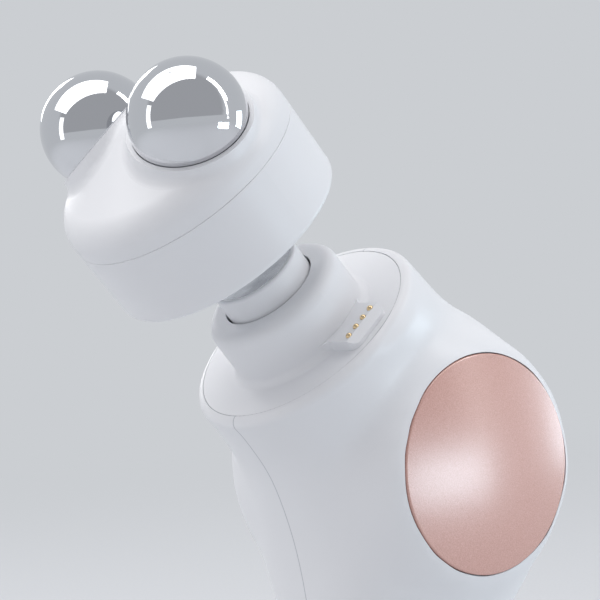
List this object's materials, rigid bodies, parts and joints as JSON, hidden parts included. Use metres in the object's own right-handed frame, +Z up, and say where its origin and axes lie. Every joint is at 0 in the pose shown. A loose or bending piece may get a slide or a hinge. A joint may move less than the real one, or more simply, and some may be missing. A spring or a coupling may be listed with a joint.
{
  "type": "facial toning device",
  "caption": "Handheld facial toning device with a lift-off two-ball head, round metal cheek discs, a tapping puck in its neck and push buttons down its back.",
  "frame": {"origin": "centre of the base pad's underside", "axes": "+Z up the handle, -Y the throat side that the head leans towards, +X the right-hand shell"},
  "size_m": [0.0628, 0.113, 0.1847],
  "materials": {
    "shell_plastic": "satin white",
    "face_plastic": "satin white",
    "neck_plastic": "satin pale grey",
    "rose_metal": "rose gold, bead blasted",
    "ball_chrome": "polished",
    "gold_plate": "gold plated",
    "screw_steel": "plain",
    "soft_grey": "matt",
    "foam": "matt",
    "inner_plastic": "matt",
    "board_green": "solder mask",
    "cell_wrap": "shrink wrap",
    "steel": "ground",
    "magnet_plate": "nickel plated",
    "bronze": "sintered",
    "light_plastic": "translucent white"
  },
  "bodies": {
    "body": {"right_shell": "shell_plastic", "left_shell": "shell_plastic", "shell_screws": "screw_steel", "right_disc": "rose_metal", "left_disc": "rose_metal", "right_disc_pad": "foam", "left_disc_pad": "foam", "base_cap": "shell_plastic", "base_pad": "soft_grey", "base_screws": "screw_steel", "battery_cradle": "inner_plastic", "battery_cell": "cell_wrap", "main_board": "board_green", "board_screws": "screw_steel", "tact_switches": "steel", "socket_block": "inner_plastic", "charging_socket": "steel", "light_guides": "light_plastic", "head_plate": "face_plastic", "shaft_bushing": "bronze", "pin_board": "board_green", "drive_frame": "steel", "motor_can": "steel", "motor_screws": "screw_steel"},
    "rotor": {"motor_shaft": "steel", "crank_disc": "steel", "crank_roller": "bronze"},
    "drive": {"drive_shaft": "steel", "drive_puck": "neck_plastic", "puck_magnet": "magnet_plate"},
    "pins": {"contact_pins": "gold_plate"},
    "percussion_key": {"percussion_button": "shell_plastic"},
    "ring_key": {"ring_button": "shell_plastic"},
    "power_key": {"power_button": "shell_plastic"},
    "head": {"head_skirt": "shell_plastic", "head_cup": "neck_plastic", "head_magnet": "magnet_plate", "pad_board": "board_green", "contact_pads": "gold_plate", "head_dome": "shell_plastic", "right_ball": "ball_chrome", "left_ball": "ball_chrome", "ball_seals": "soft_grey", "ball_screws": "screw_steel", "head_screws": "screw_steel"}
  },
  "joints": [
    {"name": "head_lift", "type": "slide", "parent": "body", "child": "head", "axis": [0, -0.6157, 0.788], "range_m": [-0.0284, 0]},
    {"name": "puck_tap", "type": "slide", "parent": "body", "child": "drive", "axis": [0, -0.6157, 0.788], "range_m": [-0.0015, 0.0015]},
    {"name": "motor_turn", "type": "hinge", "parent": "body", "child": "rotor", "pos_m": [0, 0.01, 0.09251], "axis": [1, 0, 0], "continuous": true},
    {"name": "pin_press", "type": "slide", "parent": "body", "child": "pins", "axis": [0, -0.6157, 0.788], "range_m": [-0.0004, 0], "stiffness_N_per_m": 200, "springref_m": 0.0002},
    {"name": "percussion_press", "type": "slide", "parent": "body", "child": "percussion_key", "axis": [0, 1, 0], "range_m": [-0.0007, 0], "stiffness_N_per_m": 400, "springref_m": 0.0002},
    {"name": "ring_press", "type": "slide", "parent": "body", "child": "ring_key", "axis": [0, 1, 0], "range_m": [-0.0007, 0], "stiffness_N_per_m": 400, "springref_m": 0.0002},
    {"name": "power_press", "type": "slide", "parent": "body", "child": "power_key", "axis": [0, 1, 0], "range_m": [-0.0007, 0], "stiffness_N_per_m": 400, "springref_m": 0.0002}
  ]
}
